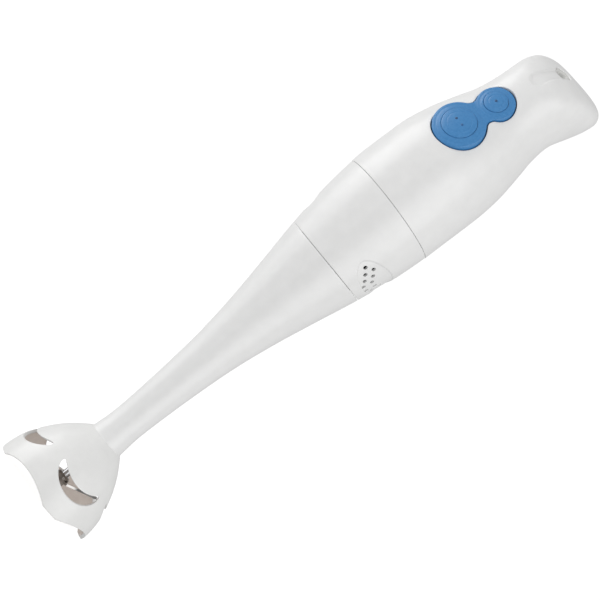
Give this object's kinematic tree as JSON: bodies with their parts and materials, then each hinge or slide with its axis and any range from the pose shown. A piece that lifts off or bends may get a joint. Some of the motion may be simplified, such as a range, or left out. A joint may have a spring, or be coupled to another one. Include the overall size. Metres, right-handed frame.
{
  "type": "immersion blender",
  "caption": "Hand-held immersion blender: motor handle with sprung speed buttons, a twist-off stick and a shrouded rotating blade.",
  "frame": {"origin": "on the drive shaft's axis, in the plane of the blade guard's four feet", "axes": "+Z along the drive shaft from the blade guard up to the handle's end; -Y is the front, where the buttons are; +X is to the right seen from the front"},
  "size_m": [0.0648, 0.081, 0.357],
  "materials": {
    "white_shell": "glossy moulded plastic",
    "white_guard": "glossy moulded plastic",
    "blue_soft": "satin soft-touch elastomer",
    "black_plastic": "matte",
    "frame_plastic": "matte",
    "board": "satin laminate",
    "capacitor_case": "glossy",
    "steel": "bright",
    "blade_steel": "stamped and ground stainless",
    "black_rubber": "matte rubber",
    "white_rubber": "matte white rubber",
    "lead_insulation": "satin insulation",
    "laminations": "stacked sheet steel",
    "copper_wire": "enamelled copper wire",
    "copper_bars": "turned copper",
    "cast_bracket": "die cast",
    "bronze": "sintered bronze",
    "brass": "stamped brass",
    "carbon": "pressed graphite"
  },
  "bodies": {
    "handle": {"handle_shell": "white_shell", "motor_collar": "white_shell", "button_membrane": "blue_soft", "switch_carrier": "frame_plastic", "switch_board": "board", "high_speed_switch": "black_plastic", "low_speed_switch": "black_plastic", "speed_diode": "black_plastic", "suppressor_capacitor": "capacitor_case", "board_screws": "steel", "cord_gland": "white_rubber", "cord_clamp": "frame_plastic", "clamp_screws": "steel", "internal_leads": "lead_insulation", "stator_core": "laminations", "field_coils": "copper_wire", "upper_motor_bracket": "frame_plastic", "lower_motor_bracket": "cast_bracket", "motor_screws": "steel", "bracket_screws": "steel", "motor_cushion": "black_rubber", "upper_bearing": "bronze", "lower_bearing": "bronze", "brush_holders": "brass", "carbon_brushes": "carbon", "brush_springs": "steel", "high_speed_spring": "steel", "low_speed_spring": "steel"},
    "rotor": {"rotor_shaft": "steel", "armature_core": "laminations", "armature_winding": "copper_wire", "commutator": "copper_bars", "cooling_fan": "black_plastic", "thrust_washers": "steel", "drive_dog": "black_plastic"},
    "stick": {"stick_tube": "white_shell", "blade_guard": "white_guard", "upper_bush": "bronze", "lower_bush": "bronze", "shaft_seal": "black_rubber"},
    "blade_drive": {"drive_shaft": "steel", "coupling_socket": "black_plastic", "blade": "blade_steel", "blade_spacer": "blade_steel", "blade_nut": "blade_steel"},
    "high_button": {"high_speed_button": "blue_soft", "high_speed_plunger": "black_plastic"},
    "low_button": {"low_speed_button": "blue_soft", "low_speed_plunger": "black_plastic"}
  },
  "joints": [
    {"name": "motor_spin", "type": "hinge", "parent": "handle", "child": "rotor", "pos_m": [0, 0, 0.228], "axis": [0, 0, 1], "continuous": true},
    {"name": "blade_spin", "type": "hinge", "parent": "handle", "child": "blade_drive", "pos_m": [0, 0, 0.05], "axis": [0, 0, 1], "continuous": true},
    {"name": "stick_twist", "type": "hinge", "parent": "handle", "child": "stick", "pos_m": [0, 0, 0.1935], "axis": [0, 0, 1], "range_deg": [0, 30]},
    {"name": "high_speed_press", "type": "slide", "parent": "handle", "child": "high_button", "axis": [0, 0.9397, -0.342], "range_m": [0, 0.0018], "stiffness_N_per_m": 1500, "springref_m": -0.001, "deforming": ["high_speed_spring"]},
    {"name": "low_speed_press", "type": "slide", "parent": "handle", "child": "low_button", "axis": [0, 0.9397, -0.342], "range_m": [0, 0.0018], "stiffness_N_per_m": 1500, "springref_m": -0.001, "deforming": ["low_speed_spring"]}
  ],
  "couplings": [
    {"joint": "blade_spin", "follows": "motor_spin", "ratio": 1}
  ]
}
